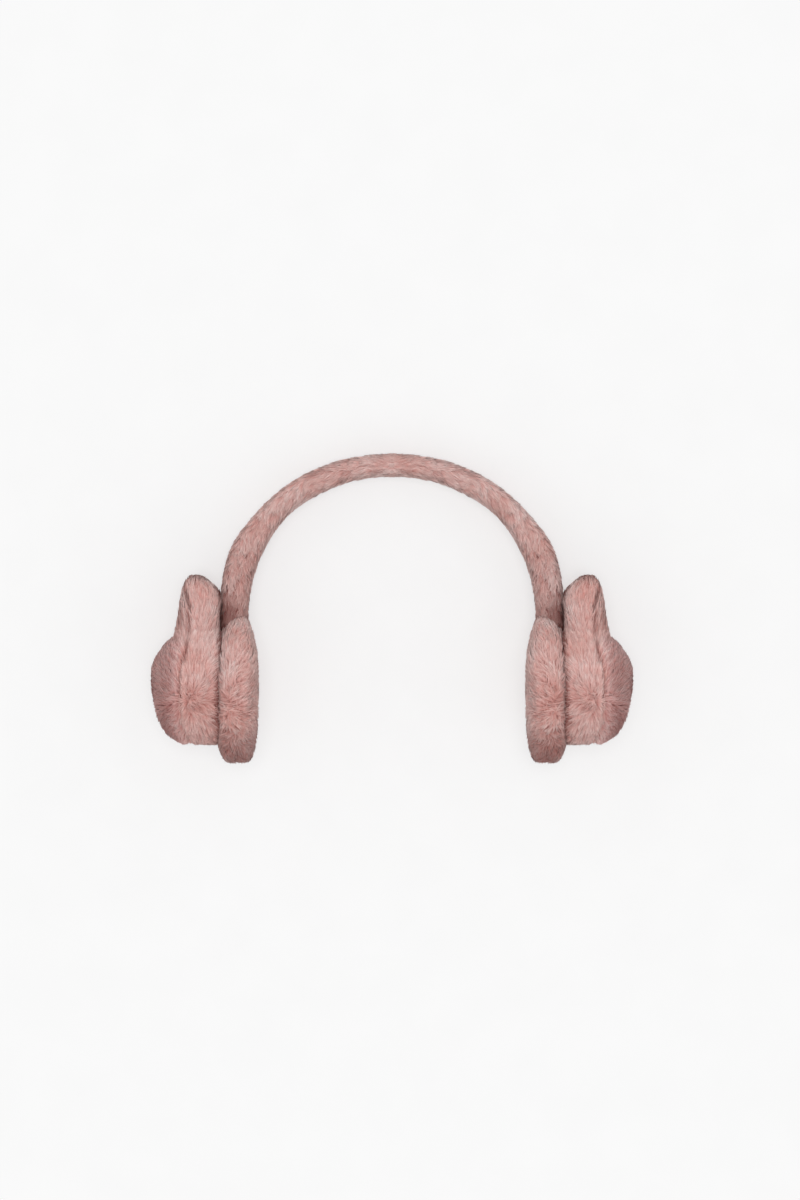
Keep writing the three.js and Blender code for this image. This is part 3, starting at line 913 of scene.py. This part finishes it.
def plush_backing(name, colour):
    """Knitted plush backing, seen only between the strands: matt, with stitches as a fine bump and a
    change of shade."""
    made, tree, shader = new_material(name)
    place = add_node(tree, "ShaderNodeTexCoord").outputs["Object"]
    knit = add_node(
        tree, "ShaderNodeTexNoise", {"Scale": 1 / STITCH_LENGTH, "Detail": 3.0}, {"Vector": place}
    ).outputs["Fac"]
    bump = add_node(
        tree, "ShaderNodeBump", {"Strength": 0.5, "Distance": 0.3 * MM}, {"Height": knit}
    ).outputs["Normal"]
    shaded = colour_ramp(tree, knit, ((0.3, colour), (0.7, "#C39690")))
    tree.links.new(shaded, shader.inputs["Base Color"])
    tree.links.new(bump, shader.inputs["Normal"])
    shader.inputs["Roughness"].default_value = 0.9
    return made


# The fibre's colour halfway, and what it is multiplied by: the shades of strands and tufts, the
# mottling, and the colour that painted shade and the face's darker rose place are mixed towards
PLUSH = {
    "middle": "#DBADA6",
    "shades": ((0.1, "#E9D9D7"), (0.5, "#F3E8E7"), (0.9, "#FDFCFC")),
    "mottle": ((0.35, "#F7E9E6"), (0.65, "#FFFFFF")),
    "patch": "#88564F",
}
FACE_PLUSH = dict(
    PLUSH,
    shades=((0.1, "#E4D2D0"), (0.9, "#F9F2F2")),
    mottle=((0.35, "#F5E6E6"), (0.65, "#FFFCFE")),
)


# Settings


class EarmuffPile(bpy.types.PropertyGroup):
    """The pile's size, number of strands and colours"""

    strand_length: FloatProperty(
        name="Strand length", description="Length of a strand of pile", default=9.6 * MM, unit="LENGTH"
    )
    strand_width: FloatProperty(
        name="Strand width", description="Width of a strand at its bend", default=0.54 * MM, unit="LENGTH"
    )
    band_strands: IntProperty(
        name="Band strands", description="Strands on each half of the band", default=41000
    )
    pad_strands: IntProperty(name="Pad strands", description="Strands on each pad", default=24000)
    strip_strands: IntProperty(
        name="Strip strands", description="Strands on each side strip", default=14000
    )
    face_strands: IntProperty(name="Face strands", description="Strands on each face", default=14500)
    ear_strands: IntProperty(name="Ear strands", description="Strands on each ear", default=9000)
    root_colour: FloatVectorProperty(
        name="Root colour",
        description="Colour of a strand at its root",
        subtype="COLOR",
        size=4,
        default=linear("#985F5A"),
    )
    tip_colour: FloatVectorProperty(
        name="Tip colour",
        description="Colour of a strand at its tip",
        subtype="COLOR",
        size=4,
        default=linear("#FFEDE8"),
    )
    backing_colour: FloatVectorProperty(
        name="Backing colour",
        description="Colour of the knitted backing between the strands",
        subtype="COLOR",
        size=4,
        default=linear("#B0807A"),
    )


class EarmuffStage(bpy.types.PropertyGroup):
    """The camera, the floor and the light"""

    camera_distance: FloatProperty(
        name="Camera distance", description="From the earmuffs' middle plane", default=3.0, unit="LENGTH"
    )
    floor_size: FloatProperty(
        name="Floor size", description="Side of the floor", default=12.0, unit="LENGTH"
    )
    key_power: FloatProperty(name="Key light", description="Strength of the soft light", default=1.12)
    key_spread: FloatProperty(name="Key spread", description="Its width in degrees", default=20.0)
    key_height: FloatProperty(
        name="Key height", description="How far above the camera it stands", default=0.02, unit="ROTATION"
    )
    sky: FloatProperty(name="Sky", description="Strength of the light all round", default=0.74)


# Pieces: which strands are left out, where a skin follows the run-together form, and where the pile
# is darker, mostly by painted shade


def nothing_hidden(places):
    """No strand is left out."""
    return np.zeros(places.shape[:-1], dtype=bool)


def everywhere(places):
    """The whole skin is moved."""
    return np.ones(places.shape[:-1])


def near_the_ears(places):
    """1 where head and ears run into each other, easing to 0 deeper in, farther from the ears and at
    the strip's face to the pad."""
    close = np.clip((6 - np.abs(head_and_ears(places, SKIN_DEPTH))) / 3, 0, 1)
    close = close * np.clip((7 - ear_field(places)) / 4, 0, 1)
    return close * np.clip((places[..., 0] - HEAD_INNER_X - 1) / 1.5, 0, 1)


SPREAD_THIN = 1.5


def thinned(places, seed):
    """One strand in three is left out, save near the seam and the ears' roots, where the form to
    which the strands are moved spreads them out."""
    drawn = np.random.default_rng(seed).uniform(size=places.shape[:-1]) > 1 / SPREAD_THIN
    rooted = (ear_field(places) < 9) & (head_field(places) > -4)
    return drawn & ~rooted & (np.abs(seam_distance(places)) > 3)


BURIED = 2.2
CROWN_OVERLAP = 5.0
# Each whorl's place to the side, up and to the front, and its fan
HEAD_WHORL = (119.5, -6.0, 39.0, 1.0)
PAD_WHORL = (94.0, -9.5, 43.5, 3.4)


def step_up(values, low, high):
    """A smooth step from 0 at low to 1 at high: 3 t squared less 2 t cubed."""
    t = np.clip((values - low) / (high - low), 0, 1)
    return t * t * (3 - 2 * t)


def crease_shadow(places):
    """Painted shade down in the crease between pad and head."""
    line = HEAD_INNER_X + crossing(places)
    return 0.85 * np.exp(-(((places[..., 0] - line) / 1.4) ** 2))


def parted(places):
    """1 for about one tuft in seven, easing to 0 over as many more, so that the painted shade of
    partings runs in streaks the way the tufts lie."""
    return step_up(0.3 - tufts(places, TUFT_SIZE)[1], 0.0, 0.16)


def clumps(places):
    """Painted shade, a little all over and more in the partings between tufts, only from a little above
    the middle of a pad or head down to near its rim.
    """
    low = step_up(-places[..., 1], -12, 8) * (1 - step_up(-places[..., 1], 26, 35))
    return low * (0.08 + 0.42 * parted(places) * (0.6 + 0.4 * waves(places, 9.0, CLUMP_SEED)))


def band_shadow(places):
    """Painted shadow where the band runs in behind the pad, painted shade in the partings, most of them
    between foot and shoulder, and slightly darker pile below the shoulder."""
    foot = np.clip((63 - places[..., 1]) / 14, 0, 1) * (0.45 + 0.55 * step_up(places[..., 0], 90, 99))
    patchy = 0.85 + 0.25 * waves(places, 6.0, FOOT_SHADE_SEED)
    inner = 0.6 + 0.4 * step_up(-places[..., 0], -92, -80)
    lower = np.exp(-(((places[..., 1] - 76) / 20) ** 4)) * inner
    # Painted shadow at the foot, made patchy, and painted shade in the partings
    painted_shade = 0.69 * foot * patchy + (0.3 + 0.55 * lower) * parted(places)
    return 0.13 + painted_shade + 0.1 * step_up(100 - places[..., 1], 0, 30)


def seam_shadow(places):
    """Painted shade down in the seam between strip and face, fainter on the lower half, and in the
    crease to the pad."""
    line = 0.65 * (1 - 0.6 * step_up(-places[..., 1], 0, 14))
    return line * np.exp(-((seam_distance(places) / 1.0) ** 2)) + crease_shadow(places)


def strip_shadow(places):
    """Painted shade in the seam, the crease to the pad and the partings."""
    return seam_shadow(places) + clumps(places)


def ear_shadow(places):
    """Painted shade at the ear's tip and along its outer side, and in the seam up the ear."""
    tip = np.clip((places[..., 1] - 60) / 8, 0, 1)
    side = np.clip(seam_distance(places) / 5, 0, 1)
    return np.maximum(0.95 * tip, 0.42 * side) + 1.1 * seam_shadow(places)


def pad_shadow(places):
    """Painted shade on the pad's lower rim and on its wearer's side, in the crease to the head and in
    the partings."""
    low = step_up(-places[..., 1], 14, 40)
    inner = step_up(-places[..., 0], -86, -80.5)
    return 0.7 * low + 0.12 * inner + crease_shadow(places) + clumps(places)


def face_shadow(places):
    """The darker rose place in the middle of the outer face, of which the photograph shows the edge,
    painted shade where the face turns to the side, most of all on its lower half, and in the seam."""
    distance = np.hypot((places[..., 1] - 1.0) / 9.0, places[..., 2] / 17.0)
    turned_away = step_up(places[..., 0], 122, 134)
    low = 0.3 * step_up(-places[..., 1], 4, 22) * turned_away
    return 0.55 * np.exp(-(distance**3)) + seam_shadow(places) + 0.4 * turned_away + low


SHEENS = {
    "band_plush": 0.2,
    "pad_plush": 0.16,
    "head_plush": 0.14,
    "face_plush": 0.22,
    "ear_plush": 0.16,
}


def fibre_material(slot_name):
    """The plush fibre of one slot, made once."""
    name = "Acrylic plush fibre, " + slot_name.replace("_", " ")
    pile = bpy.context.scene.earmuff_pile
    colours = FACE_PLUSH if slot_name == "face_plush" else PLUSH
    return bpy.data.materials.get(name) or plush_fibre(name, pile, colours, SHEENS[slot_name])


def backing_material():
    """The knitted backing, made once."""
    name = "Knitted plush backing"
    colour = bpy.context.scene.earmuff_pile.backing_colour
    return bpy.data.materials.get(name) or plush_backing(name, colour)


def set_skin(skin, node):
    """Lets a padded skin ride on the body and stand for its node."""
    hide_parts(node)
    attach(skin, "root")


def set_fur(name, slot_name, side, made, darkness):
    """Makes a coat of fur that rides on the body."""
    fur = fur_object(name, made, side, fibre_material(slot_name), darkness)
    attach(fur, "root")


def dressed(node, slot_name, side, form, made, darkness, field, share):
    """A node's padded skin and its fur, both riding on the body, with the skin standing for the node."""
    skin = skin_object(node + "_skin", form, side, backing_material(), field=field, share=share)
    set_skin(skin, node)
    set_fur(node + "_fur", slot_name, side, made, darkness)


# The part of each form's fall that carries strands, the band's skin's points round and along, and
# the length of the face's pile as a share of the rest
BAND_FALLS = (0.47, 0.9995)
PAD_FALLS = (0.004, 0.9)
STRIP_FALLS = (STRIP_FLAT - 0.02, 1 - STRIP_FLAT)
FACE_FALLS = (FACE_BACK, 0.995)
EAR_FALLS = (0.25, 0.997)
BAND_SKIN_STEPS = (40, 160)
FACE_PILE_SHARE = 0.75


class EARMUFF_OT_headband(bpy.types.Operator):
    """Builds the band's skin and the pile on its two halves"""

    bl_idname = "earmuff.headband"
    bl_label = "Headband"

    def execute(self, context):
        pile = context.scene.earmuff_pile
        skin = skin_object("headband_skin", band_form, 1, backing_material(), *BAND_SKIN_STEPS)
        set_skin(skin, "headband")

        def hidden(places):
            buried = (pad_field(places) < -1) | (head_field(places) < 0) | (ear_field(places) < 0)
            return buried | (places[..., 0] < -CROWN_OVERLAP)

        made = strands(
            band_form,
            band_field,
            BAND_FALLS,
            pile.band_strands,
            down_the_band,
            hidden,
            pile,
            SEEDS["band"],
            depth=BAND_PILE_DEPTH,
        )
        for side, sign in SIDES.items():
            set_fur("headband_fur_" + side, "band_plush", sign, made, band_shadow)
        return {"FINISHED"}


class EARMUFF_OT_pads(bpy.types.Operator):
    """Builds the two ear pads"""

    bl_idname = "earmuff.pads"
    bl_label = "Ear pads"

    def execute(self, context):
        pile = context.scene.earmuff_pile
        flow = from_whorls(*PAD_WHORL)
        made = strands(
            pad_form,
            pad_field,
            PAD_FALLS,
            pile.pad_strands,
            flow,
            nothing_hidden,
            pile,
            SEEDS["pad"],
        )
        for side, sign in SIDES.items():
            node = "ear_pad_" + side
            dressed(node, "pad_plush", sign, pad_form, made, pad_shadow, pad_field, everywhere)
        return {"FINISHED"}


class EARMUFF_OT_heads(bpy.types.Operator):
    """Builds the side strip and the domed face of each head"""

    bl_idname = "earmuff.heads"
    bl_label = "Heads"

    def execute(self, context):
        pile = context.scene.earmuff_pile
        flow = from_whorls(*HEAD_WHORL)

        def hidden(places):
            return (ear_field(places) < -BURIED) | thinned(places, SEEDS["thinning"])

        strip = strands(
            strip_form,
            head_and_ears,
            STRIP_FALLS,
            int(pile.strip_strands * SPREAD_THIN),
            flow,
            hidden,
            pile,
            SEEDS["strip"],
        )
        face = strands(
            face_form,
            head_and_ears,
            FACE_FALLS,
            int(pile.face_strands * SPREAD_THIN),
            flow,
            hidden,
            pile,
            SEEDS["face"],
            FACE_PILE_SHARE,
        )
        joined = (head_and_ears, near_the_ears)
        for side, sign in SIDES.items():
            dressed("head_strip_" + side, "head_plush", sign, strip_form, strip, strip_shadow, *joined)
            dressed("head_face_" + side, "face_plush", sign, face_form, face, face_shadow, *joined)
        return {"FINISHED"}


class EARMUFF_OT_ears(bpy.types.Operator):
    """Builds the four ears"""

    bl_idname = "earmuff.ears"
    bl_label = "Ears"

    def execute(self, context):
        pile = context.scene.earmuff_pile

        def hidden(places):
            return (head_field(places) < -BURIED) | (pad_field(places) < 0)

        for place, ahead in (("front", 1), ("rear", -1)):
            form = ear_form(ahead)
            made = strands(
                form,
                head_and_ears,
                EAR_FALLS,
                pile.ear_strands,
                up_the_ear,
                hidden,
                pile,
                SEEDS["ear"],
            )
            joined = (head_and_ears, near_the_ears)
            for side, sign in SIDES.items():
                dressed(f"ear_{place}_{side}", "ear_plush", sign, form, made, ear_shadow, *joined)
        return {"FINISHED"}


# Sets the floor at the photograph's white, together with the key and the sky
TABLE_GLOW = 0.522


def light_table():
    """Opal acrylic of a light table, lit evenly from below: it gives the even white ground and keeps
    shadows on it pale, and the faintest mottle keeps it from looking painted on."""
    made, tree, shader = new_material("Opal acrylic, lit from below")
    place = add_node(tree, "ShaderNodeTexCoord").outputs["Object"]
    grain = add_node(tree, "ShaderNodeTexNoise", {"Scale": 30.0, "Detail": 2.0}, {"Vector": place})
    shaded = colour_ramp(tree, grain.outputs["Fac"], ((0.3, "#A8A8A8"), (0.7, "#AAAAAA")))
    tree.links.new(shaded, shader.inputs["Base Color"])
    shader.inputs["Roughness"].default_value = 1.0
    shader.inputs["Specular IOR Level"].default_value = 0.0
    shader.inputs["Emission Color"].default_value = linear("#FFFFFF")
    shader.inputs["Emission Strength"].default_value = TABLE_GLOW
    return made


class EARMUFF_OT_stage(bpy.types.Operator):
    """Builds the floor, the lights and the camera square to the worn front"""

    bl_idname = "earmuff.stage"
    bl_label = "Stage"

    def execute(self, context):
        stage = context.scene.earmuff_stage
        half = stage.floor_size / 2
        corners = np.array([[-half, -half, 0], [half, -half, 0], [half, half, 0], [-half, half, 0]])
        floor = mesh_object("light_table", corners, np.array([[0, 1, 2, 3]]), light_table())
        right = np.array([1.0, 0.0, 0.0])
        up = np.array([0.0, math.cos(TILT), -math.sin(TILT)])
        back = np.array([0.0, math.sin(TILT), math.cos(TILT)])
        pad_centre = np.array([0.0, PAD_CENTRE_Y, PAD_CENTRE_Z])
        pixel = PHOTO_MM_PER_PIXEL * MM
        aim = (
            pad_centre
            + right * (PHOTO_WIDTH / 2 - PHOTO_CENTRE_LINE) * pixel
            + up * (PHOTO_PAD_CENTRE_ROW - PHOTO_HEIGHT / 2) * pixel
        )
        camera = bpy.data.objects.new("camera", bpy.data.cameras.new("camera"))
        camera.data.lens = (
            camera.data.sensor_width * stage.camera_distance / (PHOTO_HEIGHT * pixel)
        )
        camera.data.clip_end = 100.0
        turned = Matrix((right, up, back)).transposed().to_4x4()
        camera.matrix_world = Matrix.Translation(aim + back * stage.camera_distance) @ turned
        bpy.context.collection.objects.link(camera)
        context.scene.camera = camera
        light = bpy.data.lights.new("soft_key", "SUN")
        light.angle = math.radians(stage.key_spread)
        light.energy = stage.key_power
        key = bpy.data.objects.new("soft_key", light)
        key.matrix_world = turned @ Matrix.Rotation(-stage.key_height, 4, "X")
        context.collection.objects.link(key)
        world = bpy.data.worlds.new("studio")
        world.use_nodes = True
        world.node_tree.nodes["Background"].inputs["Color"].default_value = linear("#FFFFFF")
        world.node_tree.nodes["Background"].inputs["Strength"].default_value = stage.sky
        context.scene.world = world
        context.scene.view_settings.view_transform = "Standard"
        return {"FINISHED"}


class EARMUFF_PT_panel(bpy.types.Panel):
    """Lists the earmuffs' pieces and settings"""

    bl_label = "Plush earmuffs"
    bl_idname = "EARMUFF_PT_panel"
    bl_space_type = "VIEW_3D"
    bl_region_type = "UI"
    bl_category = "Earmuffs"

    def draw(self, context):
        """Shows every setting and a button for each operator."""
        for settings in (context.scene.earmuff_pile, context.scene.earmuff_stage):
            for key in settings.__annotations__:
                self.layout.prop(settings, key)
        for operator in OPERATORS:
            self.layout.operator(operator.bl_idname)


OPERATORS = (
    EARMUFF_OT_stage,
    EARMUFF_OT_headband,
    EARMUFF_OT_pads,
    EARMUFF_OT_heads,
    EARMUFF_OT_ears,
)
CLASSES = (EarmuffPile, EarmuffStage, *OPERATORS, EARMUFF_PT_panel)


def register():
    """Registers the settings, operators and panel."""
    for added in CLASSES:
        bpy.utils.register_class(added)
    bpy.types.Scene.earmuff_pile = PointerProperty(type=EarmuffPile)
    bpy.types.Scene.earmuff_stage = PointerProperty(type=EarmuffStage)


def unregister():
    """Takes them away again."""
    del bpy.types.Scene.earmuff_stage
    del bpy.types.Scene.earmuff_pile
    for added in reversed(CLASSES):
        bpy.utils.unregister_class(added)


def main():
    """Builds everything."""
    register()
    bpy.ops.earmuff.stage()
    bpy.ops.earmuff.headband()
    bpy.ops.earmuff.pads()
    bpy.ops.earmuff.heads()
    bpy.ops.earmuff.ears()


if __name__ == "__main__":
    main()
